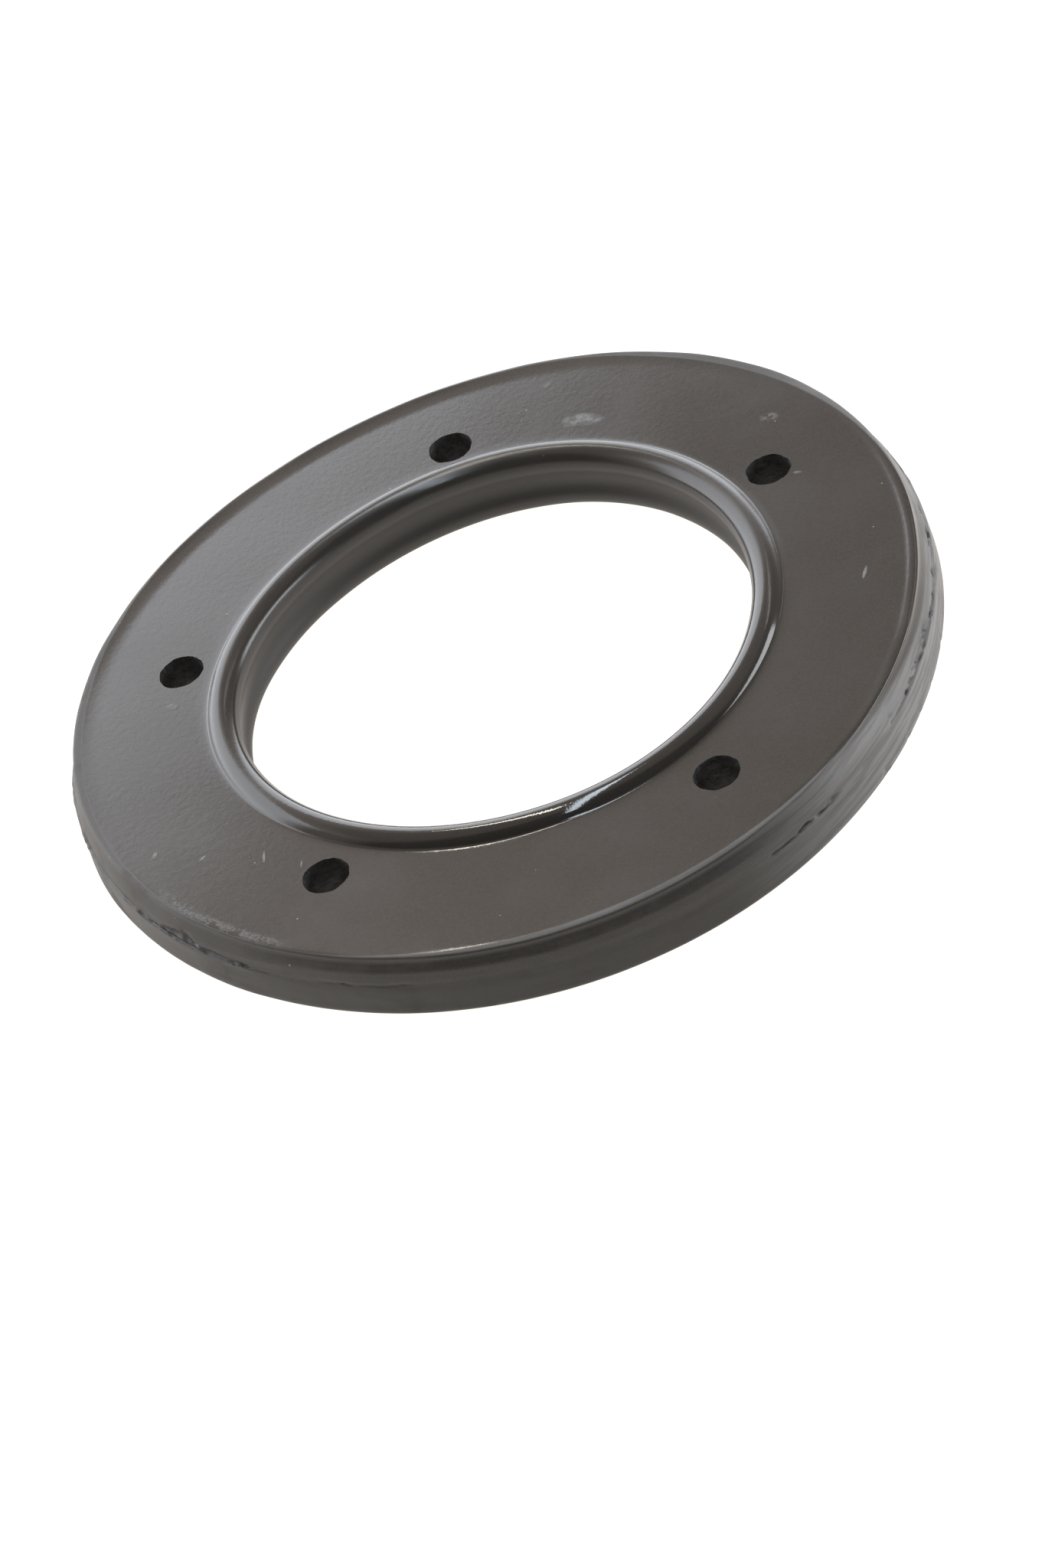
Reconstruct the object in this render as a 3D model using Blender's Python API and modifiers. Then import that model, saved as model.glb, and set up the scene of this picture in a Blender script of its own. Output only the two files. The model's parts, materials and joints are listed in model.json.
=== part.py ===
"""Rubber toilet flange: one moulded ring with a raised bead and five drilled bolt holes.

Metres, +Z up. The origin is the centre of the bore on the surface that the ring lies
on. The ring is one piece of rubber: it is turned from a profile, then drilled.
"""

import math

import bpy
from mathutils import Vector

# Driving dimensions
BORE_RADIUS = 0.0522        # narrowest, at the bead
BODY_THICKNESS = 0.0128     # between the two flat faces
BEAD_WIDTH = 0.0063         # from the narrowest bore to the foot of the bead
BEAD_RISE = 0.0019          # the bead above the flat top
FLAT_WIDTH = 0.0271         # flat top, from the foot of the bead to the edge rounding
EDGE_ROUND = 0.0010         # rounding of the top and the bottom edge

# Bore wall below the bead
LIP_ROUND = 0.0027          # radius of the rounded lip at the bottom of the bore
LIP_SETBACK = 0.0003        # how much wider the bore is at the lip than at the bead
VALLEY_ROUND = 0.0050       # radius of the hollow between the bead and the lip

# Outer wall: it leans outwards on its way down, and steps out at the parting line
UPPER_LEAN = 0.0016         # above the parting line
PARTING_STEP = 0.0004       # the lower mould half is this much wider
LOWER_LEAN = 0.0004         # below the parting line
PARTING_HEIGHT = 0.0073     # height of the parting line above the underside
PARTING_SLOPE = 0.0004      # height over which the step runs

# Bolt holes, drilled by hand, so each one strays from the common circle
HOLE_DIAMETER = 0.0090
HOLE_CLEARANCE = 0.0033     # rubber between the bead and a hole on the common circle
HOLE_PLACES = (             # direction in degrees from +X, and how far it strays outwards
    (84.9, -0.0018),
    (16.6, -0.0006),
    (-64.3, 0.0019),
    (-133.4, 0.0003),
    (156.5, 0.0002),
)
DRILL_OVERRUN = 0.0030      # how far the drill passes each face

# Worked out from the sizes above
BEAD_ROUND = BEAD_WIDTH + BEAD_RISE - math.sqrt(2.0 * BEAD_WIDTH * BEAD_RISE)
FOOT_RADIUS = BORE_RADIUS + BEAD_WIDTH
FLAT_RADIUS = FOOT_RADIUS + FLAT_WIDTH
TOP_RADIUS = FLAT_RADIUS + EDGE_ROUND
OUTER_RADIUS = TOP_RADIUS + UPPER_LEAN + PARTING_STEP + LOWER_LEAN
HOLE_CIRCLE_RADIUS = FOOT_RADIUS + HOLE_CLEARANCE + HOLE_DIAMETER / 2.0

# Smoothness
RING_STEPS = 120            # round the ring
HOLE_SIDES = 32
BEAD_STEPS = 4              # along a quarter of the bead's section
LIP_STEPS = 3
VALLEY_STEPS = 3
EDGE_STEPS = 3
SHARP_ANGLE = math.radians(28)

RUBBER_COLOR = (0.036, 0.033, 0.031, 1.0)
RUBBER_ROUGHNESS = 0.42


def clear_scene():
    for obj in list(bpy.data.objects):
        bpy.data.objects.remove(obj, do_unlink=True)


def new_collection(name):
    collection = bpy.data.collections.new(name)
    bpy.context.scene.collection.children.link(collection)
    return collection


def rubber_material():
    material = bpy.data.materials.new("black_rubber")
    material.use_nodes = True
    shader = material.node_tree.nodes["Principled BSDF"]
    shader.inputs["Base Color"].default_value = RUBBER_COLOR
    shader.inputs["Roughness"].default_value = RUBBER_ROUGHNESS
    shader.inputs["Metallic"].default_value = 0.0
    return material


def arc(centre, radius, start, end, steps):
    """Points on an arc in the (radius, height) plane, both ends included."""
    points = []
    for i in range(steps + 1):
        angle = start + (end - start) * i / steps
        points.append(centre + radius * Vector((math.cos(angle), math.sin(angle))))
    return points


def direction(origin, target):
    offset = target - origin
    return math.atan2(offset.y, offset.x)


def hollow_centre(bead_centre, lip_centre):
    """Centre of the circle that touches the bead's and the lip's rounds from the bore."""
    to_bead = BEAD_ROUND + VALLEY_ROUND
    to_lip = LIP_ROUND + VALLEY_ROUND
    between = lip_centre - bead_centre
    gap = between.length
    along = (to_bead ** 2 - to_lip ** 2 + gap ** 2) / (2.0 * gap)
    aside = math.sqrt(to_bead ** 2 - along ** 2)
    unit = between / gap
    toward_axis = Vector((unit.y, -unit.x))
    return bead_centre + along * unit + aside * toward_axis


def outer_wall():
    """Down the outside: top edge rounding, parting step, bottom edge rounding."""
    quarter = math.pi / 2.0
    above = TOP_RADIUS + UPPER_LEAN
    top_edge = arc(Vector((FLAT_RADIUS, BODY_THICKNESS - EDGE_ROUND)), EDGE_ROUND,
                   quarter, 0.0, EDGE_STEPS)
    parting = [
        Vector((above, PARTING_HEIGHT + PARTING_SLOPE / 2.0)),
        Vector((above + PARTING_STEP, PARTING_HEIGHT - PARTING_SLOPE / 2.0)),
    ]
    bottom_edge = arc(Vector((OUTER_RADIUS - EDGE_ROUND, EDGE_ROUND)), EDGE_ROUND,
                      0.0, -quarter, EDGE_STEPS)
    return top_edge + parting + bottom_edge


def bore_wall():
    """Up the inside: rounded lip, hollow, and the bead's round, over to its foot."""
    quarter = math.pi / 2.0
    crown = BODY_THICKNESS + BEAD_RISE
    bead_centre = Vector((BORE_RADIUS + BEAD_ROUND, crown - BEAD_ROUND))
    lip_centre = Vector((BORE_RADIUS + LIP_SETBACK + LIP_ROUND, LIP_ROUND))
    hollow = hollow_centre(bead_centre, lip_centre)
    leaves_lip = direction(lip_centre, hollow) - 2.0 * math.pi
    joins_bead = direction(bead_centre, hollow) + 2.0 * math.pi
    foot_angle = math.asin((BODY_THICKNESS - bead_centre.y) / BEAD_ROUND)

    lip = arc(lip_centre, LIP_ROUND, -quarter, -math.pi, LIP_STEPS)
    lip_top = arc(lip_centre, LIP_ROUND, -math.pi, leaves_lip, 1)
    valley = arc(hollow, VALLEY_ROUND, direction(hollow, lip_centre),
                 direction(hollow, bead_centre), VALLEY_STEPS)
    bead_under = arc(bead_centre, BEAD_ROUND, joins_bead, math.pi, 1)
    bead_bore = arc(bead_centre, BEAD_ROUND, math.pi, quarter, BEAD_STEPS)
    bead_outside = arc(bead_centre, BEAD_ROUND, quarter, foot_angle, BEAD_STEPS - 1)

    below_bead = lip + lip_top[1:] + valley[1:-1] + bead_under
    return below_bead + bead_bore[1:] + bead_outside[1:]


def turned_ring(collection):
    points = outer_wall() + bore_wall()
    mesh = bpy.data.meshes.new("rubber_flange_ring")
    edges = [(i, (i + 1) % len(points)) for i in range(len(points))]
    mesh.from_pydata([(p.x, 0.0, p.y) for p in points], edges, [])
    ring = bpy.data.objects.new("rubber_flange_ring", mesh)
    collection.objects.link(ring)

    screw = ring.modifiers.new("turn", "SCREW")
    screw.axis = "Z"
    screw.angle = 2.0 * math.pi
    screw.steps = RING_STEPS
    screw.render_steps = RING_STEPS
    screw.use_merge_vertices = True
    screw.merge_threshold = 0.00001
    return ring


def hole_cutter(collection, number, angle, distance):
    length = BODY_THICKNESS + 2.0 * DRILL_OVERRUN
    place = (distance * math.cos(angle), distance * math.sin(angle), BODY_THICKNESS / 2.0)
    bpy.ops.mesh.primitive_cylinder_add(
        vertices=HOLE_SIDES, radius=HOLE_DIAMETER / 2.0, depth=length, location=place)
    cutter = bpy.context.object
    cutter.name = "bolt_hole_cutter_%d" % number
    for owner in list(cutter.users_collection):
        owner.objects.unlink(cutter)
    collection.objects.link(cutter)
    cutter.hide_render = True
    cutter.display_type = "WIRE"
    return cutter


def drill(ring, cutters):
    for cutter in cutters:
        cut = ring.modifiers.new(cutter.name, "BOOLEAN")
        cut.operation = "DIFFERENCE"
        cut.solver = "EXACT"
        cut.object = cutter


def shade(ring):
    """Apply the modifiers, then shade smooth with the moulded and drilled edges sharp."""
    evaluated = ring.evaluated_get(bpy.context.evaluated_depsgraph_get())
    mesh = bpy.data.meshes.new_from_object(evaluated)
    ring.modifiers.clear()
    ring.data = mesh
    mesh.name = ring.name
    mesh.shade_smooth()
    mesh.set_sharp_from_angle(angle=SHARP_ANGLE)


clear_scene()
parts = new_collection("toilet_flange")
cutters_collection = new_collection("cutters")
ring = turned_ring(parts)
hole_cutters = []
for number, (degrees, strays) in enumerate(HOLE_PLACES, start=1):
    hole_cutters.append(hole_cutter(
        cutters_collection, number, math.radians(degrees), HOLE_CIRCLE_RADIUS + strays))
drill(ring, hole_cutters)
shade(ring)
ring.data.materials.clear()
ring.data.materials.append(rubber_material())
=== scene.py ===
"""A rubber toilet flange: one pressed ring of black rubber, drilled for five bolts."""

import json
import math

import bpy
import numpy as np
from mathutils import Matrix, Vector


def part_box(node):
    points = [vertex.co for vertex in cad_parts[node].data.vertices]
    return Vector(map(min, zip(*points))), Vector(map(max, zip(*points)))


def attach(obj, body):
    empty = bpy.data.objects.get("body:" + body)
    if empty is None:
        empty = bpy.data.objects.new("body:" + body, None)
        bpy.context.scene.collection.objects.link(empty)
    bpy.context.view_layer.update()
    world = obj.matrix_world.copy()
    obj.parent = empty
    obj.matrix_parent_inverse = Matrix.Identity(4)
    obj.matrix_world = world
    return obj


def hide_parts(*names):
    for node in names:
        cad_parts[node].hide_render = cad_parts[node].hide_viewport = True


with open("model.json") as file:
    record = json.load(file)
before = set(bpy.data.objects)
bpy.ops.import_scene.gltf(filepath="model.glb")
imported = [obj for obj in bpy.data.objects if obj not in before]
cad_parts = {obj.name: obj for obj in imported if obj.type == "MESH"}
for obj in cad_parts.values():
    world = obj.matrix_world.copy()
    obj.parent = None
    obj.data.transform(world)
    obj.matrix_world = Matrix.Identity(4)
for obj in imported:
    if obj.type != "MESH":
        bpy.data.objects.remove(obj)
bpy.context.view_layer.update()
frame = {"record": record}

record = frame["record"]


# =====================================================================================
# The ring as it leaves the mould
# One solid ring of black rubber, pressed hot between two steel mould halves. Its flat
# top carries a round bead about the bore. The wall leans out on its way down, and the
# lower half of the mould was a little wider, which left a step half way up the wall.
# =====================================================================================

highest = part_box("rubber_flange_ring")[1]
outer_radius = highest.x
crown_height = highest.z
face_height = next(m["pos_m"][2] for m in record["mounts"] if m["name"] == "top_face")

bore_radius = 0.0522
bead_width = 0.0063
bead_rise = crown_height - face_height
bead_round = bead_width + bead_rise - math.sqrt(2.0 * bead_width * bead_rise)
foot_round = 0.0008
foot_swell = 0.00006        # how much the face rises into the bead's foot
foot_reach = 0.0012         # and over what distance
lip_round = 0.0027
lip_setback = 0.0003
valley_round = 0.0050

edge_round = 0.0010
upper_lean = 0.0016
parting_step = 0.0004
lower_lean = 0.0004
parting_height = 0.0073
parting_slope = 0.0003      # height over which the step runs
soft_slope = 0.0022         # the same step where it is soft, along the front
top_radius = outer_radius - upper_lean - parting_step - lower_lean
flat_radius = top_radius - edge_round
lip_crest = flat_radius - 0.0004

foot_band = 0.0030          # width of the finer rings beside the bead's foot
edge_band_start = 0.0790    # radius where the finer rings beside the edge begin
steps_round = 860


def line(start, end, count):
    """Points from start towards end, without the end itself."""
    return [Vector(start).lerp(Vector(end), i / count) for i in range(count)]


def arc(centre, radius, start, end, count):
    """Points on an arc from the start angle towards the end angle, without the end."""
    points = []
    for i in range(count):
        angle = start + (end - start) * i / count
        points.append(Vector(centre) + radius * Vector((math.cos(angle), math.sin(angle))))
    return points


def bead_section():
    """Up the bore and over the bead: lip, hollow, bead, and the small round at its foot."""
    bead = Vector((bore_radius + bead_round, crown_height - bead_round))
    lip = Vector((bore_radius + lip_setback + lip_round, lip_round))
    to_bead = bead_round + valley_round
    to_lip = lip_round + valley_round
    between = lip - bead
    along = (to_bead ** 2 - to_lip ** 2 + between.length_squared) / (2.0 * between.length)
    aside = math.sqrt(to_bead ** 2 - along ** 2)
    unit = between.normalized()
    valley = bead + along * unit + aside * Vector((unit.y, -unit.x))

    def heading(a, b):
        return math.atan2(b.y - a.y, b.x - a.x)

    foot_up = face_height + foot_round - bead.y
    foot_out = math.sqrt((bead_round + foot_round) ** 2 - foot_up ** 2)
    foot = Vector((bead.x + foot_out, face_height + foot_round))
    foot_angle = heading(bead, foot)
    return (
        arc(lip, lip_round, -0.5 * math.pi, heading(lip, valley) - 2.0 * math.pi, 8)
        + arc(valley, valley_round, heading(valley, lip), heading(valley, bead), 6)
        + arc(bead, bead_round, heading(bead, valley) + 2.0 * math.pi, math.pi, 3)
        + arc(bead, bead_round, math.pi, foot_angle, 16)
        + arc(foot, foot_round, foot_angle + math.pi, 1.5 * math.pi, 6)
        + [Vector((foot.x, face_height))]
    )


def wall_section(slope):
    """Down the outside: edge rounding, upper wall, parting step, lower wall, edge."""
    above = top_radius + upper_lean
    step_top = (above, parting_height + 0.5 * slope)
    step_foot = (above + parting_step, parting_height - 0.5 * slope)
    band_top = (above - 0.0004, step_top[1] + 0.0016)
    band_foot = (above + parting_step + 0.0001, step_foot[1] - 0.0008)
    return (
        arc((flat_radius, face_height - edge_round), edge_round, 0.5 * math.pi, 0.0, 7)
        + line((top_radius, face_height - edge_round), band_top, 4)
        + line(band_top, step_top, 4)
        + line(step_top, step_foot, 8)
        + line(step_foot, band_foot, 3)
        + line(band_foot, (outer_radius, edge_round), 7)
        + arc((outer_radius - edge_round, edge_round), edge_round, 0.0, -0.5 * math.pi, 4)
        + line((outer_radius - edge_round, 0.0), (bore_radius + lip_round, 0.0), 5)
    )


bead_points = bead_section()
foot_end = bead_points[-1].x
flat_points = (
    line(bead_points[-1], (foot_end + foot_band, face_height), 5)[1:]
    + line((foot_end + foot_band, face_height), (edge_band_start, face_height), 4)
    + line((edge_band_start, face_height), (flat_radius, face_height), 14)
)
section = flat_points + wall_section(parting_slope) + bead_points
soft_section = flat_points + wall_section(soft_slope) + bead_points


def outline(points):
    """Radius, height and outward normal at each point, the normal from its neighbours."""
    radius = np.array([p.x for p in points])
    height = np.array([p.y for p in points])
    along_r = np.roll(radius, -1) - np.roll(radius, 1)
    along_z = np.roll(height, -1) - np.roll(height, 1)
    length = np.hypot(along_r, along_z)
    return np.stack([radius, height, -along_z / length, along_r / length])


def fade(value, start, end):
    """0 before start, 1 after end, and smooth between."""
    share = np.clip((value - start) / (end - start), 0.0, 1.0)
    return share * share * (3.0 - 2.0 * share)


# The step at the parting line is a soft slope along the front and sharp elsewhere
angles = np.arange(steps_round) * 2.0 * math.pi / steps_round
turn, index = np.meshgrid(angles, np.arange(len(section)), indexing="ij")
soft_share = fade(np.cos(turn + math.radians(92.0)), 0.62, 0.80)
ring_r, ring_z, ring_nr, ring_nz = (
    outline(section)[:, index] * (1.0 - soft_share)
    + outline(soft_section)[:, index] * soft_share)
ring_points = np.stack([ring_r * np.cos(turn), ring_r * np.sin(turn), ring_z], axis=-1)


def ripple(points, wavelength, seed, stretch=(1.0, 1.0, 1.0)):
    """Smooth uneven ripple of about unit size, made of waves in many directions."""
    draw = np.random.default_rng(seed)
    waves = 18
    directions = draw.normal(size=(waves, 3))
    directions /= np.linalg.norm(directions, axis=1, keepdims=True)
    lengths = wavelength * draw.uniform(0.6, 1.7, waves)
    phases = draw.uniform(0.0, 2.0 * math.pi, waves)
    waves_through = directions / lengths[:, None] * 2.0 * math.pi
    heights = np.sin((points * np.array(stretch)) @ waves_through.T + phases)
    return heights.sum(axis=-1) / math.sqrt(waves / 2.0)


on_wall = fade(ring_r, top_radius - 0.0006, top_radius) * fade(ring_z, 0.0, 0.0008)
on_edge = np.exp(-((ring_r - top_radius + 0.0004) / 0.0007) ** 2) * (ring_z > 0.010)
on_face = fade(ring_z, face_height - 0.0004, face_height)
off_floor = fade(ring_z, 0.0002, 0.0012)

# Rubber is never pressed quite true: the face, the edge and the wall all wander a little
wander = 0.000005 * ripple(ring_points, 0.030, 1) * on_face
wander = wander + 0.00003 * ripple(ring_points, 0.016, 2) * on_edge
wander = wander + 0.00004 * ripple(ring_points, 0.022, 3, (1.0, 1.0, 3.0)) * on_wall
wander = wander + 0.00001 * ripple(ring_points, 0.005, 4, (1.0, 1.0, 2.5)) * on_wall
wander = wander + 0.00004 * ripple(ring_points, 0.020, 5) * off_floor * (1.0 - on_face)

# The edge's small round is drawn out towards the corner, which makes it nearly sharp
trimmed = 0.70
edge_r = ring_r - flat_radius
edge_z = ring_z - (face_height - edge_round)
edge_reach = np.hypot(edge_r, edge_z)
on_round = (edge_r > 0.00001) & (edge_z > 0.00001) & (edge_reach < edge_round + 0.0001)
to_corner = edge_reach / np.maximum(np.maximum(edge_r, edge_z), 1e-6)
sharpen = np.where(on_round, trimmed * (to_corner - 1.0) * edge_reach, 0.0)
wander = wander + sharpen

# The face rises a little into the bead's foot, and again to a low lip along its edge.
# The lip is wide and highest at the back, narrow and lower at the right, gone in front.
lip_back_height, lip_back_width = 0.00040, 0.0054
lip_right_height, lip_right_width = 0.00011, 0.0012


def away_from(direction):
    """Degrees round the ring from a direction, -180 to 180, at each point."""
    return (np.degrees(turn) - direction + 180.0) % 360.0 - 180.0


foot_side = 0.4 + 0.6 * np.exp(-((np.degrees(turn) - 285.0) / 50.0) ** 2)
foot_rise = foot_swell * foot_side * np.exp(-np.clip(ring_r - foot_end, 0.0, None) / foot_reach)
lip_back = np.exp(-(away_from(108.0) / 52.0) ** 2)
lip_right = np.exp(-(away_from(-8.0) / 27.0) ** 2)
back_share = np.clip((ring_r - top_radius + lip_back_width) / lip_back_width, 0.0, 1.0)
right_share = np.clip((ring_r - lip_crest + lip_right_width) / lip_right_width, 0.0, 1.0)
lip_rise = lip_back_height * lip_back * back_share ** 2.2
lip_rise = lip_rise + lip_right_height * lip_right * (0.5 - 0.5 * np.cos(math.pi * right_share))
face_rise = (foot_rise + lip_rise) * fade(ring_z, 0.0100, face_height - 0.0002)


# =====================================================================================
# The parting line and its torn flash
# Rubber squeezed out between the mould halves and was torn off by hand. It left a thin
# uneven ridge along the step, and hollows where the tear ran into the wall itself.
# =====================================================================================

flash_height = parting_height - 0.0002
flash_ridge = 0.00010
flash_half_height = 0.00028
flash_swell = np.clip(0.45 + 0.75 * ripple(ring_points, 0.011, 6, (1.0, 1.0, 0.0)), 0.0, 1.6)
flash_ragged = 1.0 + 0.4 * ripple(ring_points, 0.0024, 7, (1.0, 1.0, 0.0))
flash_wander = 0.00018 * ripple(ring_points, 0.022, 8, (1.0, 1.0, 0.0))
flash_shape = np.exp(-((ring_z - flash_height - flash_wander) / flash_half_height) ** 2)
flash = flash_ridge * flash_swell * flash_ragged * flash_shape
wander = wander + flash * on_wall * (1.0 - soft_share)

# Where the flash tore into the wall, and nicks along the lower edge: direction and half
# the length in degrees, height above the parting line and half the height in
# millimetres, and the depth as a share of tear_depth
tear_depth = 0.0006
tears = [
    (-149.5, 3.4, 0.7, 0.75, 1.00),
    (-154.0, 7.0, -0.2, 0.32, 0.75),
    (-141.0, 5.5, 0.1, 0.30, 0.60),
    (-62.5, 6.8, 0.1, 0.32, 1.00),
    (-57.5, 1.3, 0.3, 0.60, 0.55),
    (-43.0, 0.45, 1.0, 0.95, 0.40),
    (-30.0, 5.6, 0.6, 0.55, 1.20),
    (-27.5, 1.8, 0.9, 0.75, 1.00),
    (-22.5, 3.0, -0.1, 0.40, 0.80),
    (-15.2, 1.6, -0.4, 0.75, 0.95),
    (-9.0, 2.6, 0.5, 0.50, 1.05),
    (-3.0, 1.8, 0.9, 0.60, 0.95),
    (-122.0, 10.0, 0.1, 0.24, 0.20),
    (-96.0, 6.0, 0.1, 0.18, 0.06),
    (8.0, 4.0, 0.3, 0.40, 0.40),
    (37.0, 6.0, 0.1, 0.30, 0.45),
    (71.0, 2.2, 0.6, 0.70, 0.55),
    (98.0, 8.0, 0.0, 0.25, 0.35),
    (129.0, 3.0, 0.4, 0.60, 0.60),
    (161.0, 5.0, -0.1, 0.30, 0.40),
    (-47.5, 0.7, -6.2, 0.90, 0.60),
    (-41.0, 0.5, -6.3, 0.80, 0.75),
    (-37.2, 1.0, -6.1, 1.00, 0.55),
    (-31.5, 0.6, -6.3, 0.80, 0.70),
    (-24.0, 0.8, -6.2, 0.90, 0.50),
]
ragged_along = 0.30 * ripple(ring_points, 0.0045, 9, (1.0, 1.0, 2.0))
ragged_up = 0.30 * ripple(ring_points, 0.0040, 10, (1.0, 1.0, 2.0))
torn_floor = 1.0 + 0.30 * ripple(ring_points, 0.0022, 11)
torn = np.zeros_like(ring_r)
for direction, half_length, height, half_height, depth in tears:
    along = away_from(direction) / half_length + ragged_along
    up = (ring_z - parting_height - 0.001 * height) / (0.001 * half_height) + ragged_up
    inside = np.clip(1.0 - along ** 2 - up ** 2, 0.0, 1.0)
    torn = np.maximum(torn, tear_depth * depth * np.sqrt(inside) * torn_floor)
wander = wander - torn * on_wall

# The ring came out of the mould a little out of round, at its rim and at its bore
rim_strays = 0.001 * (
    -0.18 - 0.20 * np.cos(turn) - 0.27 * np.sin(turn) + 0.23 * np.cos(2.0 * turn)
    + 0.51 * np.sin(2.0 * turn) - 0.67 * np.cos(3.0 * turn) + 0.93 * np.sin(3.0 * turn))
bore_strays = 0.001 * (
    0.08 - 0.22 * np.cos(turn) - 0.15 * np.sin(turn) + 0.15 * np.cos(2.0 * turn)
    - 0.63 * np.cos(3.0 * turn) + 0.12 * np.sin(3.0 * turn))
strays = rim_strays * fade(ring_r, 0.070, 0.084) + bore_strays * fade(-ring_r, -0.066, -0.056)

ring_points[..., 0] += strays * np.cos(turn)
ring_points[..., 1] += strays * np.sin(turn)
ring_points[..., 0] += wander * ring_nr * np.cos(turn)
ring_points[..., 1] += wander * ring_nr * np.sin(turn)
ring_points[..., 2] += wander * ring_nz + face_rise

points_up = len(section)
vertex = np.arange(steps_round * points_up).reshape(steps_round, points_up)
next_turn, next_point = np.roll(vertex, -1, axis=0), np.roll(vertex, -1, axis=1)
next_both = np.roll(next_turn, -1, axis=1)
quads = np.stack([vertex, next_point, next_both, next_turn], axis=-1).reshape(-1, 4)
ring_mesh = bpy.data.meshes.new("flange_ring_moulding")
ring_mesh.from_pydata(ring_points.reshape(-1, 3).tolist(), [], quads.tolist())
ring = bpy.data.objects.new("flange_ring_moulding", ring_mesh)
bpy.context.scene.collection.objects.link(ring)


# =====================================================================================
# The bolt holes
# Five holes drilled by hand after moulding. Rubber crumbles before a drill, so their
# walls are rough and their mouths are a little torn and opened out.
# =====================================================================================

hole_radius = 0.0045
hole_sides = 64
mouth_flare = 0.00018
mouth_depth = 0.0005
hole_boxes = [o["box_m"] for o in record["physics"]["openings"]
              if o["name"].startswith("bolt_hole")]
hole_centres = [(0.5 * (lo[0] + hi[0]), 0.5 * (lo[1] + hi[1])) for lo, hi in hole_boxes]

drill_heights = np.concatenate([
    [-0.0010, -0.0002, 0.0003],
    np.linspace(0.0008, face_height - 0.0008, 15),
    [face_height - 0.0003, face_height + 0.0002, face_height + 0.0010],
])
drill_vertices, drill_faces = [], []
for number, (x, y) in enumerate(hole_centres):
    turns = np.arange(hole_sides) * 2.0 * math.pi / hole_sides
    around, up = np.meshgrid(turns, drill_heights, indexing="xy")
    wall = np.stack([hole_radius * np.cos(around), hole_radius * np.sin(around), up], axis=-1)
    crumbs = 0.00007 * ripple(wall, 0.0034, 20 + number)
    crumbs = crumbs + 0.00005 * ripple(wall, 0.0014, 30 + number)
    from_face = np.minimum(np.abs(up), np.abs(up - face_height))
    mouth = mouth_flare * np.exp(-(from_face / mouth_depth) ** 2)
    radius = hole_radius + crumbs + mouth
    first = len(drill_vertices)
    drill_vertices += np.stack(
        [x + radius * np.cos(around), y + radius * np.sin(around), up], axis=-1
    ).reshape(-1, 3).tolist()
    rows = len(drill_heights)
    for row in range(rows - 1):
        for side in range(hole_sides):
            a = first + row * hole_sides + side
            b = first + row * hole_sides + (side + 1) % hole_sides
            drill_faces.append((a, b, b + hole_sides, a + hole_sides))
    drill_faces.append([first + side for side in reversed(range(hole_sides))])
    drill_faces.append([first + (rows - 1) * hole_sides + side for side in range(hole_sides)])
drill_mesh = bpy.data.meshes.new("drill_holes")
drill_mesh.from_pydata(drill_vertices, [], drill_faces)
drill = bpy.data.objects.new("drill_holes", drill_mesh)
bpy.context.scene.collection.objects.link(drill)


# =====================================================================================
# The rubber
# Carbon-black rubber straight from the mould: near black with a warm brown cast, with a
# half-gloss skin that shows fine orange peel, a faint bloom, dust and handling marks.
# The wall also carries painted shade low down and painted light on its right side.
# =====================================================================================

def add_node(tree, kind, **settings):
    node = tree.nodes.new(kind)
    for name, value in settings.items():
        setattr(node, name, value)
    return node


def join(tree, source, target):
    tree.links.new(source, target)


def feed(tree, operand, socket):
    """Give a socket its value, which is another socket or a plain number."""
    if isinstance(operand, (int, float)):
        socket.default_value = operand
    else:
        join(tree, operand, socket)


def new_group(name, inputs, outputs):
    """An empty shader group; inputs and outputs are (name, socket type, default)."""
    group = bpy.data.node_groups.new(name, "ShaderNodeTree")
    for label, kind, value in inputs:
        socket = group.interface.new_socket(name=label, in_out="INPUT", socket_type=kind)
        socket.default_value = value
    for label, kind in outputs:
        group.interface.new_socket(name=label, in_out="OUTPUT", socket_type=kind)
    entry = group.nodes.new("NodeGroupInput")
    leave = group.nodes.new("NodeGroupOutput")
    return group, entry, leave


def math_node(tree, operation, first, second=None, clamp=False):
    """A Math node; each operand is a socket or a number."""
    node = add_node(tree, "ShaderNodeMath", operation=operation, use_clamp=clamp)
    feed(tree, first, node.inputs[0])
    if second is not None:
        feed(tree, second, node.inputs[1])
    return node.outputs[0]


def ramp_node(tree, value, start, end, low_out=0.0, high_out=1.0):
    """Smooth step of a value between two levels."""
    node = add_node(tree, "ShaderNodeMapRange", interpolation_type="SMOOTHSTEP")
    for slot, operand in zip(("Value", "From Min", "From Max", "To Min", "To Max"),
                             (value, start, end, low_out, high_out)):
        feed(tree, operand, node.inputs[slot])
    return node.outputs["Result"]


def noise_node(tree, vector, scale, detail, roughness=0.55):
    """Noise from 0 to 1; the scale is in waves to the metre."""
    node = add_node(tree, "ShaderNodeTexNoise", noise_dimensions="3D")
    join(tree, vector, node.inputs["Vector"])
    feed(tree, scale, node.inputs["Scale"])
    node.inputs["Detail"].default_value = detail
    node.inputs["Roughness"].default_value = roughness
    return node.outputs["Fac"]


def blend_value(tree, factor, under, over):
    """Mix two values; each is a socket or a number."""
    node = add_node(tree, "ShaderNodeMix", data_type="FLOAT")
    feed(tree, factor, node.inputs["Factor"])
    feed(tree, under, node.inputs["A"])
    feed(tree, over, node.inputs["B"])
    return node.outputs["Result"]


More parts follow.
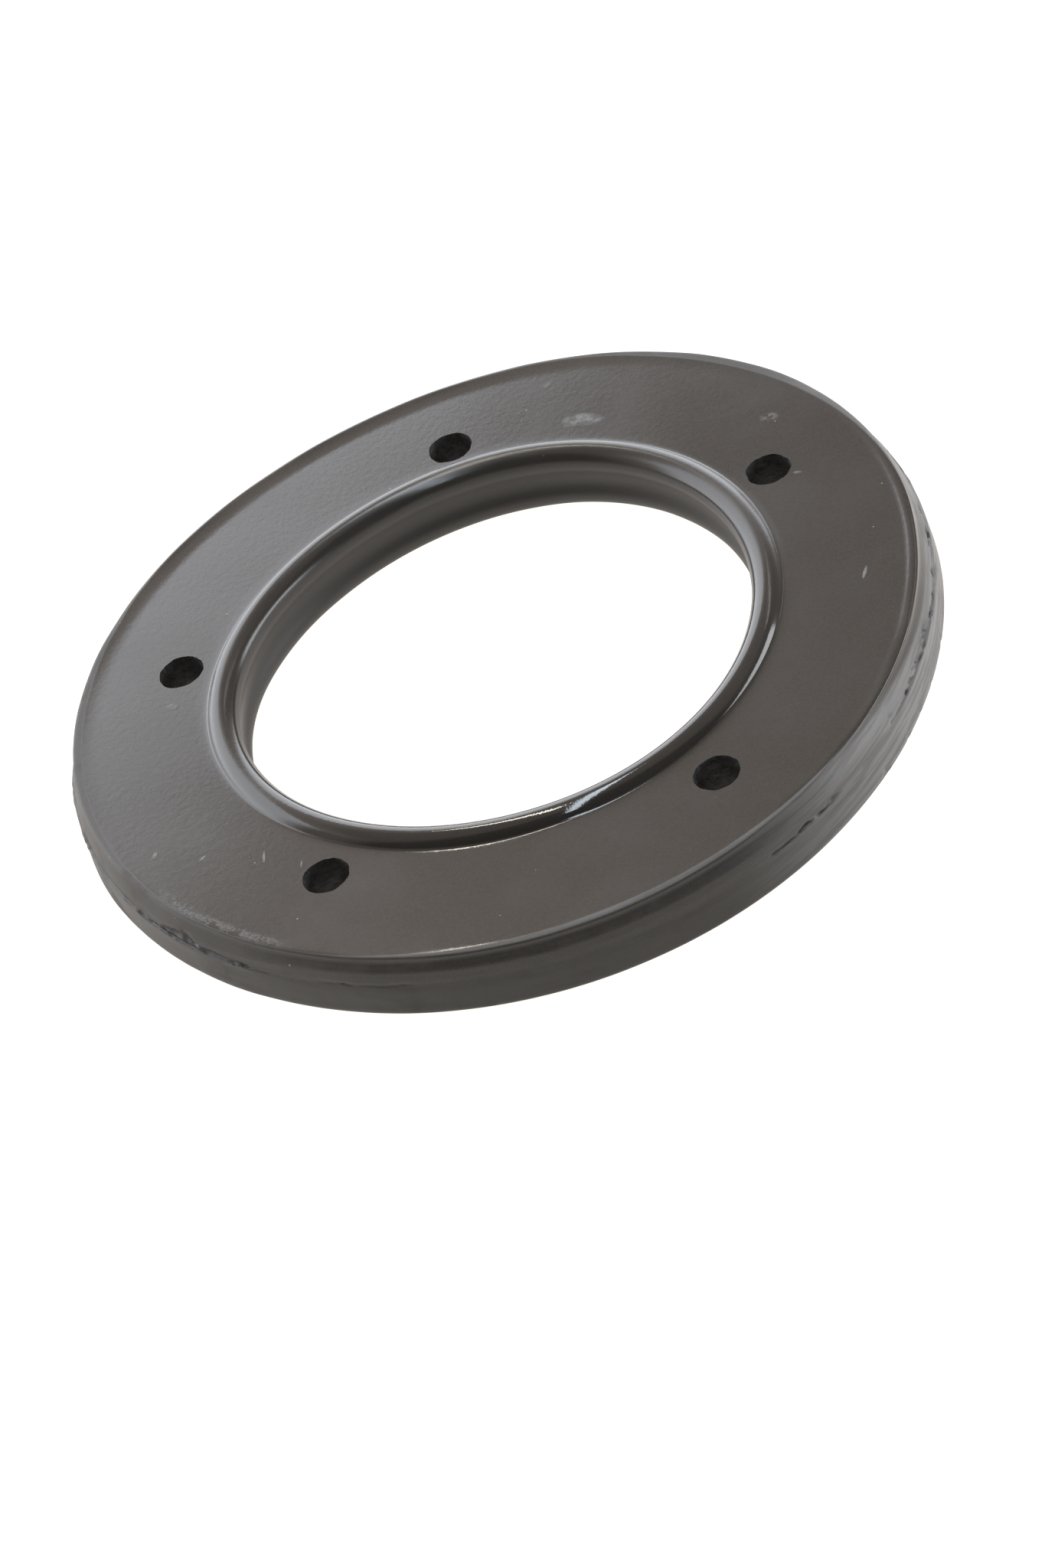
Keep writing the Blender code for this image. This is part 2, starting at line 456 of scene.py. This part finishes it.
def build_skin_group():
    """Moulded skin: orange peel and fine grain, as a height in metres."""
    group, entry, leave = new_group(
        "moulded_skin",
        [("Vector", "NodeSocketVector", (0.0, 0.0, 0.0)),
         ("Peel Size", "NodeSocketFloat", 0.002),
         ("Peel Height", "NodeSocketFloat", 0.000004),
         ("Grain Size", "NodeSocketFloat", 0.0004),
         ("Grain Height", "NodeSocketFloat", 0.000002)],
        [("Height", "NodeSocketFloat")])
    peel_scale = math_node(group, "DIVIDE", 1.0, entry.outputs["Peel Size"])
    grain_scale = math_node(group, "DIVIDE", 1.0, entry.outputs["Grain Size"])
    peel = noise_node(group, entry.outputs["Vector"], peel_scale, 2.0)
    grain = noise_node(group, entry.outputs["Vector"], grain_scale, 3.0)
    peel_up = math_node(group, "MULTIPLY", peel, entry.outputs["Peel Height"])
    grain_up = math_node(group, "MULTIPLY", grain, entry.outputs["Grain Height"])
    join(group, math_node(group, "ADD", peel_up, grain_up), leave.inputs["Height"])
    return group


def build_cloud_group():
    """Soft uneven patches, for bloom and smears: a mask from 0 to 1."""
    group, entry, leave = new_group(
        "soft_patches",
        [("Vector", "NodeSocketVector", (0.0, 0.0, 0.0)),
         ("Size", "NodeSocketFloat", 0.03),
         ("Cover", "NodeSocketFloat", 0.5),
         ("Softness", "NodeSocketFloat", 0.15)],
        [("Mask", "NodeSocketFloat")])
    scale = math_node(group, "DIVIDE", 1.0, entry.outputs["Size"])
    patches = noise_node(group, entry.outputs["Vector"], scale, 5.0, 0.6)
    level = math_node(group, "SUBTRACT", 1.0, entry.outputs["Cover"])
    start = math_node(group, "SUBTRACT", level, entry.outputs["Softness"])
    end = math_node(group, "ADD", level, entry.outputs["Softness"])
    join(group, ramp_node(group, patches, start, end), leave.inputs["Mask"])
    return group


def build_speck_group():
    """Sparse round specks of dust: a mask from 0 to 1."""
    group, entry, leave = new_group(
        "dust_specks",
        [("Vector", "NodeSocketVector", (0.0, 0.0, 0.0)),
         ("Spacing", "NodeSocketFloat", 0.004),
         ("Speck Size", "NodeSocketFloat", 0.00025),
         ("Share", "NodeSocketFloat", 0.3)],
        [("Mask", "NodeSocketFloat")])
    scale = math_node(group, "DIVIDE", 1.0, entry.outputs["Spacing"])
    cells = add_node(group, "ShaderNodeTexVoronoi", voronoi_dimensions="3D", feature="F1")
    join(group, entry.outputs["Vector"], cells.inputs["Vector"])
    join(group, scale, cells.inputs["Scale"])
    across = math_node(group, "MULTIPLY", cells.outputs["Distance"], entry.outputs["Spacing"])
    half = math_node(group, "MULTIPLY", entry.outputs["Speck Size"], 0.5)
    speck = ramp_node(group, across, half, entry.outputs["Speck Size"], 1.0, 0.0)
    parts = add_node(group, "ShaderNodeSeparateColor")
    join(group, cells.outputs["Color"], parts.inputs["Color"])
    kept = math_node(group, "LESS_THAN", parts.outputs["Red"], entry.outputs["Share"])
    join(group, math_node(group, "MULTIPLY", speck, kept), leave.inputs["Mask"])
    return group


def build_mark_group():
    """One rub or scratch at a place, along a direction: a broken-up mask from 0 to 1."""
    group, entry, leave = new_group(
        "handling_mark",
        [("Vector", "NodeSocketVector", (0.0, 0.0, 0.0)),
         ("Place", "NodeSocketVector", (0.0, 0.0, 0.0)),
         ("Direction", "NodeSocketFloat", 0.0),
         ("Half Length", "NodeSocketFloat", 0.003),
         ("Half Width", "NodeSocketFloat", 0.0004),
         ("Broken", "NodeSocketFloat", 0.5),
         ("Strength", "NodeSocketFloat", 0.5)],
        [("Mask", "NodeSocketFloat")])
    away = add_node(group, "ShaderNodeVectorMath", operation="SUBTRACT")
    join(group, entry.outputs["Vector"], away.inputs[0])
    join(group, entry.outputs["Place"], away.inputs[1])
    turned = add_node(group, "ShaderNodeVectorRotate", rotation_type="Z_AXIS")
    join(group, away.outputs[0], turned.inputs["Vector"])
    back = math_node(group, "MULTIPLY", entry.outputs["Direction"], -1.0)
    join(group, back, turned.inputs["Angle"])
    parts = add_node(group, "ShaderNodeSeparateXYZ")
    join(group, turned.outputs[0], parts.inputs[0])
    along = math_node(group, "DIVIDE", parts.outputs["X"], entry.outputs["Half Length"])
    across = math_node(group, "DIVIDE", parts.outputs["Y"], entry.outputs["Half Width"])
    reach = math_node(group, "ADD", math_node(group, "MULTIPLY", along, along),
                      math_node(group, "MULTIPLY", across, across))
    inside = ramp_node(group, reach, 0.0, 1.0, 1.0, 0.0)
    inside = math_node(group, "MULTIPLY", inside, entry.outputs["Strength"])
    fineness = math_node(group, "DIVIDE", 1.1, entry.outputs["Half Width"])
    streaks = noise_node(group, entry.outputs["Vector"], fineness, 3.0, 0.7)
    broken = ramp_node(group, streaks, 0.38, 0.62, 0.0, 1.0)
    kept = blend_value(group, entry.outputs["Broken"], 1.0, broken)
    join(group, math_node(group, "MULTIPLY", inside, kept), leave.inputs["Mask"])
    return group


def place_group(tree, group, vector, **values):
    """Put a group in a material; keyword names are its inputs, with _ for a space."""
    node = add_node(tree, "ShaderNodeGroup", node_tree=group)
    join(tree, vector, node.inputs["Vector"])
    for name, value in values.items():
        node.inputs[name.replace("_", " ")].default_value = value
    return node.outputs[0]


skin_group = build_skin_group()
cloud_group = build_cloud_group()
speck_group = build_speck_group()
mark_group = build_mark_group()


def blend_colour(tree, factor, under, over):
    """Mix two colours; each is a socket or an (r, g, b, 1) tuple."""
    node = add_node(tree, "ShaderNodeMix", data_type="RGBA", clamp_factor=True)
    join(tree, factor, node.inputs["Factor"])
    for slot, colour in (("A", under), ("B", over)):
        target = [s for s in node.inputs if s.name == slot and s.type == "RGBA"][0]
        if isinstance(colour, tuple):
            target.default_value = colour
        else:
            join(tree, colour, target)
    return [s for s in node.outputs if s.type == "RGBA"][0]


def greatest(tree, masks):
    """The greatest of several masks at each place."""
    total = masks[0]
    for mask in masks[1:]:
        total = math_node(tree, "MAXIMUM", total, mask)
    return total


def polar(radius_mm, degrees):
    """A place on the face, from its distance in millimetres and its direction."""
    angle = math.radians(degrees)
    return (0.001 * radius_mm * math.cos(angle), 0.001 * radius_mm * math.sin(angle),
            face_height)


def outwards(tree, vector, degrees):
    """How far each place lies from the centre along a direction in the face."""
    node = add_node(tree, "ShaderNodeVectorMath", operation="DOT_PRODUCT")
    join(tree, vector, node.inputs[0])
    angle = math.radians(degrees)
    node.inputs[1].default_value = (math.cos(angle), math.sin(angle), 0.0)
    return node.outputs["Value"]


def raise_relief(tree, height, shader):
    """Bump the shader's surface by a height in metres."""
    bump = add_node(tree, "ShaderNodeBump")
    bump.inputs["Strength"].default_value = 1.0
    bump.inputs["Distance"].default_value = 1.0
    join(tree, height, bump.inputs["Height"])
    join(tree, bump.outputs["Normal"], shader.inputs["Normal"])


moulded = bpy.data.materials.new("moulded_black_rubber")
moulded.use_nodes = True
tree = moulded.node_tree
shader = tree.nodes["Principled BSDF"]
where = add_node(tree, "ShaderNodeTexCoord").outputs["Object"]
parts = add_node(tree, "ShaderNodeSeparateXYZ")
join(tree, where, parts.inputs[0])
x_sq = math_node(tree, "MULTIPLY", parts.outputs["X"], parts.outputs["X"])
y_sq = math_node(tree, "MULTIPLY", parts.outputs["Y"], parts.outputs["Y"])
radius = math_node(tree, "SQRT", math_node(tree, "ADD", x_sq, y_sq))
wall_mask = ramp_node(tree, radius, flat_radius - 0.0001, flat_radius + 0.0006)

# Colour: warm near-black, paler where bloom has come to the surface, with painted shade on
# the lower wall and painted light, mixed with dust, on the right of the wall
plain_rubber = (0.0250, 0.0215, 0.0191, 1.0)
bloomed_rubber = (0.0300, 0.0262, 0.0235, 1.0)
mottle_grey = (0.050, 0.045, 0.041, 1.0)
smear_brown = (0.050, 0.040, 0.034, 1.0)
streak_black = (0.016, 0.014, 0.013, 1.0)
# painted_shade_colour is painted shade for the lower wall, not a colour of the rubber itself
painted_shade_colour = (0.012, 0.010, 0.0085, 1.0)
# Partly dust, partly painted light: the pale grey used on the right of the wall
pale_dust_and_painted_light = (0.205, 0.203, 0.208, 1.0)
rub_grey = (0.19, 0.19, 0.20, 1.0)
speck_grey = (0.35, 0.33, 0.29, 1.0)
dusty_lit_direction = -18.0

bloom = place_group(tree, cloud_group, where, Size=0.035, Cover=0.45, Softness=0.22)
smears = place_group(tree, cloud_group, where, Size=0.009, Cover=0.40, Softness=0.14)
colour = blend_colour(tree, bloom, plain_rubber, bloomed_rubber)
mottle = ramp_node(tree, noise_node(tree, where, 2300.0, 2.0), 0.36, 0.64, 0.0, 0.32)
mottle = math_node(tree, "MULTIPLY", mottle,
                   ramp_node(tree, radius, foot_end - 0.001, foot_end + 0.002, 0.4, 1.0))
colour = blend_colour(tree, mottle, colour, mottle_grey)
# Partly dust and partly painted light: the wall turns pale grey towards the right, where the light
# falls brightest
dusty_lit_side = ramp_node(tree, outwards(tree, where, dusty_lit_direction), 0.046, 0.090)
wall_tint = math_node(tree, "MULTIPLY", wall_mask, smears)
colour = blend_colour(tree, math_node(tree, "MULTIPLY", wall_tint, 0.6), colour, smear_brown)
squeezed = add_node(tree, "ShaderNodeMapping")
squeezed.inputs["Scale"].default_value = (1.0, 1.0, 26.0)
join(tree, where, squeezed.inputs["Vector"])
streaks = place_group(tree, cloud_group, squeezed.outputs["Vector"],
                      Size=0.022, Cover=0.50, Softness=0.09)
streaked = math_node(tree, "MULTIPLY", wall_mask, streaks)
colour = blend_colour(tree, math_node(tree, "MULTIPLY", streaked, 0.25), colour, streak_black)
# Painted shade: the wall below the parting step is darkened all round, standing in for the dim
# light that reaches the lower wall
painted_low_wall_shade = math_node(tree, "MULTIPLY", wall_mask,
                     ramp_node(tree, parts.outputs["Z"], 0.0058, 0.0080, 0.65, 0.0))
colour = blend_colour(tree, painted_low_wall_shade, colour, painted_shade_colour)
# Painted light mixed with dust: pale grey laid over the right of the wall, a little less along the
# dark streaks
dusted_and_lit = math_node(tree, "MULTIPLY", math_node(tree, "MULTIPLY", wall_mask, dusty_lit_side),
                   ramp_node(tree, streaks, 0.0, 1.0, 1.0, 0.60))
colour = blend_colour(tree, dusted_and_lit, colour, pale_dust_and_painted_light)

# Rubs and scratches from handling: place, direction in degrees, half the length, half
# the width, how broken up it is, and how strong
marks = [
    (polar(65.5, 59.5), -30.0, 0.0052, 0.0024, 0.75, 0.42),
    (polar(64.6, 61.5), 10.0, 0.0022, 0.0012, 0.6, 0.30),
    (polar(76.2, 27.1), -20.0, 0.0026, 0.0016, 1.0, 0.22),
    (polar(74.6, -17.4), 62.0, 0.0022, 0.00042, 0.4, 0.50),
    (polar(66.9, 165.4), -32.0, 0.0016, 0.0010, 0.8, 0.30),
    (polar(79.9, -162.1), 70.0, 0.0011, 0.0006, 0.8, 0.45),
    (polar(73.9, -155.7), 30.0, 0.0010, 0.0003, 0.3, 0.45),
    (polar(67.0, -146.7), 78.0, 0.0018, 0.00035, 0.5, 0.50),
    (polar(65.4, -139.3), 70.0, 0.0010, 0.0002, 0.3, 0.45),
    (polar(78.0, 68.0), 40.0, 0.0012, 0.0007, 0.9, 0.20),
    (polar(69.5, 12.0), -25.0, 0.0012, 0.0005, 0.8, 0.25),
]
mark_masks = []
for place, direction, half_length, half_width, broken, strength in marks:
    mark_masks.append(place_group(
        tree, mark_group, where, Place=place, Direction=math.radians(direction),
        Half_Length=half_length, Half_Width=half_width, Broken=broken, Strength=strength))

# The edge's skin is crinkled and scuffed along the left of the front
scuff_direction = -144.0
scuff_strength = 0.13
scuff_cosine = math_node(tree, "DIVIDE", outwards(tree, where, scuff_direction), radius)
scuff_band = math_node(tree, "MULTIPLY", ramp_node(tree, radius, 0.0832, 0.0845),
                       ramp_node(tree, radius, 0.0852, 0.0866, 1.0, 0.0))
scuff_noise = ramp_node(tree, noise_node(tree, where, 900.0, 4.0, 0.7), 0.47, 0.62)
scuffed = math_node(tree, "MULTIPLY", math_node(tree, "MULTIPLY", scuff_band, scuff_noise),
                    ramp_node(tree, scuff_cosine, 0.972, 0.992))
mark_masks.append(math_node(tree, "MULTIPLY", scuffed, scuff_strength))
on_top = ramp_node(tree, parts.outputs["Z"], 0.0105, 0.0120)
rubbed = math_node(tree, "MULTIPLY", greatest(tree, mark_masks), on_top)
colour = blend_colour(tree, rubbed, colour, rub_grey)

specks = place_group(tree, speck_group, where, Spacing=0.0045, Speck_Size=0.00022, Share=0.22)
colour = blend_colour(tree, math_node(tree, "MULTIPLY", specks, 0.7), colour, speck_grey)
join(tree, colour, shader.inputs["Base Color"])

# Gloss: an even skin on the face, duller on the wall, down the bore, and where it is
# rubbed or bloomed. The bead is glossiest in front and softer towards the back.
bore_roughness = 0.50
rubbed_roughness = 0.45     # what a full rub adds
gloss = ramp_node(tree, bloom, 0.0, 1.0, 0.11, 0.15)
wall_gloss = ramp_node(tree, smears, 0.0, 1.0, 0.46, 0.60)
bore_mask = math_node(tree, "MULTIPLY",
                      ramp_node(tree, radius, bore_radius + 0.0016, bore_radius + 0.0026, 1.0, 0.0),
                      ramp_node(tree, parts.outputs["Z"], 0.0118, 0.0134, 1.0, 0.0))
bead_side = ramp_node(tree, parts.outputs["Y"], -0.045, 0.005, 0.45, 1.7)
bead_mask = ramp_node(tree, radius, foot_end - 0.0008, foot_end + 0.0012, bead_side, 1.0)
gloss = math_node(tree, "MULTIPLY", gloss, bead_mask)
rough = blend_value(tree, bore_mask, gloss, bore_roughness)
edge_mask = ramp_node(tree, radius, flat_radius - 0.0002, flat_radius + 0.0005)
rough = blend_value(tree, edge_mask, rough, wall_gloss)
rough = math_node(tree, "ADD", rough,
                  math_node(tree, "MULTIPLY", rubbed, rubbed_roughness), clamp=True)
join(tree, rough, shader.inputs["Roughness"])

# Relief: orange peel all over, and crinkled skin where it is rubbed
crinkle_height = 0.00012
skin = place_group(tree, skin_group, where, Peel_Size=0.0014, Peel_Height=0.0000080,
                   Grain_Size=0.00045, Grain_Height=0.0000055)
crinkle = math_node(tree, "MULTIPLY", rubbed, noise_node(tree, where, 1500.0, 4.0, 0.7))
relief = math_node(tree, "ADD", skin, math_node(tree, "MULTIPLY", crinkle, crinkle_height))
raise_relief(tree, relief, shader)
shader.inputs["IOR"].default_value = 1.52

# Inside the holes the drill left torn, crumbly rubber: dull, with pale crumbs
torn_rubber = (0.016, 0.015, 0.0145, 1.0)
crumb_grey = (0.050, 0.048, 0.047, 1.0)
drilled = bpy.data.materials.new("drilled_black_rubber")
drilled.use_nodes = True
tree = drilled.node_tree
shader = tree.nodes["Principled BSDF"]
where = add_node(tree, "ShaderNodeTexCoord").outputs["Object"]
crumbs = place_group(tree, cloud_group, where, Size=0.0011, Cover=0.42, Softness=0.10)
colour = blend_colour(tree, crumbs, torn_rubber, crumb_grey)
join(tree, colour, shader.inputs["Base Color"])
join(tree, ramp_node(tree, crumbs, 0.0, 1.0, 0.62, 0.85), shader.inputs["Roughness"])
torn_skin = place_group(tree, skin_group, where, Peel_Size=0.0009, Peel_Height=0.00022,
                        Grain_Size=0.0003, Grain_Height=0.00006)
raise_relief(tree, torn_skin, shader)

for mesh in (ring_mesh, drill_mesh):
    mesh.materials.append(moulded)
    mesh.materials.append(drilled)
drill_mesh.polygons.foreach_set("material_index", [1] * len(drill_mesh.polygons))

cut = ring.modifiers.new("bolt_holes", "BOOLEAN")
cut.operation = "DIFFERENCE"
cut.solver = "EXACT"
cut.object = drill
drilled_mesh = bpy.data.meshes.new_from_object(
    ring.evaluated_get(bpy.context.evaluated_depsgraph_get()))
ring.modifiers.clear()
ring.data = drilled_mesh
bpy.data.objects.remove(drill)
drilled_mesh.shade_smooth()
drilled_mesh.set_sharp_from_angle(angle=math.radians(50.0))

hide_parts("rubber_flange_ring")
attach(ring, "root")


# =====================================================================================
# The floor
# A plain white sheet that glows a little by itself, like a light table, so that the
# ring's shadow hardly shows on it.
# =====================================================================================

bpy.ops.mesh.primitive_plane_add(size=12.0, location=(0.0, 0.0, -0.0001))
floor = bpy.context.object
floor.name = "white_sheet"
sheet = bpy.data.materials.new("backlit_white_sheet")
sheet.use_nodes = True
shader = sheet.node_tree.nodes["Principled BSDF"]
shader.inputs["Base Color"].default_value = (0.20, 0.20, 0.20, 1.0)
shader.inputs["Roughness"].default_value = 0.9
shader.inputs["Specular IOR Level"].default_value = 0.1
shader.inputs["Emission Color"].default_value = (1.0, 0.95, 0.89, 1.0)
shader.inputs["Emission Strength"].default_value = 1.08
floor.data.materials.append(sheet)


# =====================================================================================
# The light
# A dim room, dark on the viewer's side, with a wide pale wall behind and to the left
# whose top edge slants down to the right. Two long narrow lamps hang overhead, a small
# one is behind to the right, and a wide soft one stands low at the right.
# =====================================================================================

world = bpy.data.worlds.new("room")
bpy.context.scene.world = world
world.use_nodes = True
tree = world.node_tree
backdrop = tree.nodes["Background"]
heading = add_node(tree, "ShaderNodeTexCoord").outputs["Generated"]
parts = add_node(tree, "ShaderNodeSeparateXYZ")
join(tree, heading, parts.inputs[0])
across_edge = Vector((-0.72, 0.744, -1.0)).normalized()
under_edge = add_node(tree, "ShaderNodeVectorMath", operation="DOT_PRODUCT")
join(tree, heading, under_edge.inputs[0])
under_edge.inputs[1].default_value = across_edge
below = under_edge.outputs["Value"]
behind = ramp_node(tree, parts.outputs["Y"], -0.32, -0.06)
higher = ramp_node(tree, parts.outputs["Z"], 0.58, 0.68)
viewer_side = (0.135, 0.13, 0.12, 1.0)
wall_white = (3.55, 3.65, 3.85, 1.0)
open_side = blend_colour(tree, higher, (0.345, 0.325, 0.30, 1.0), (0.57, 0.53, 0.48, 1.0))
by_wall = blend_colour(tree, higher, (0.76, 0.67, 0.60, 1.0), (1.32, 1.15, 1.01, 1.0))
room = blend_colour(tree, behind, viewer_side, open_side)
near_wall = math_node(tree, "MULTIPLY", ramp_node(tree, below, -0.22, 0.0), behind)
room = blend_colour(tree, near_wall, room, by_wall)
wall_end = ramp_node(tree, parts.outputs["Y"], 0.05, 0.30)
pale_wall = math_node(tree, "MULTIPLY", ramp_node(tree, below, -0.010, 0.018), wall_end)
room = blend_colour(tree, pale_wall, room, wall_white)
join(tree, room, backdrop.inputs["Color"])
backdrop.inputs["Strength"].default_value = 1.0


def strip_light(name, start, end, width, brightness, colour):
    """A long soft lamp between two places, turned to face the ring."""
    start, end = Vector(start), Vector(end)
    data = bpy.data.lights.new(name, "AREA")
    data.shape = "RECTANGLE"
    data.size, data.size_y = (end - start).length, width
    data.energy = brightness * math.pi * data.size * data.size_y
    data.color = colour
    light = bpy.data.objects.new(name, data)
    middle = 0.5 * (start + end)
    along = (end - start).normalized()
    facing = (middle - middle.dot(along) * along).normalized()
    side = facing.cross(along)
    turn_to = Matrix((along, side, facing)).transposed().to_4x4()
    light.matrix_world = Matrix.Translation(middle) @ turn_to
    bpy.context.scene.collection.objects.link(light)


strip_light("warm_tube", (-0.125, 1.40, 1.5), (-0.03, 0.36, 1.5), 0.040, 30.0, (1.0, 0.93, 0.82))
strip_light("cool_tube", (0.12, 0.86, 1.5), (0.02, -1.20, 1.5), 0.10, 13.0, (0.80, 0.90, 1.0))
strip_light("right_gap", (0.52, 1.10, 0.92), (1.20, 0.80, 1.10), 0.05, 5.0, (1.0, 0.97, 0.93))
strip_light("right_fill", (1.6, -0.9, 0.35), (1.6, 0.5, 0.35), 0.5, 6.5, (0.95, 0.98, 1.0))


# =====================================================================================
# The camera
# Above and in front, looking down at about forty degrees, tipped to one side.
# =====================================================================================

stand_back = 0.9618         # from the middle of the ring
stand_up = math.radians(38.84)
look_down = math.radians(40.25)
look_aside = math.radians(-0.41)
tip = math.radians(-21.48)

camera_data = bpy.data.cameras.new("camera")
camera_data.sensor_width = 36.0
camera_data.lens = 112.0
camera_data.dof.use_dof = False
camera = bpy.data.objects.new("camera", camera_data)
eye = Vector((0.0, -stand_back * math.cos(stand_up),
              stand_back * math.sin(stand_up) + 0.5 * face_height))
camera.matrix_world = (Matrix.Translation(eye)
                       @ Matrix.Rotation(-look_aside, 4, "Z")
                       @ Matrix.Rotation(0.5 * math.pi - look_down, 4, "X")
                       @ Matrix.Rotation(tip, 4, "Z"))
bpy.context.scene.collection.objects.link(camera)
bpy.context.scene.camera = camera
bpy.context.scene.view_settings.view_transform = "Standard"
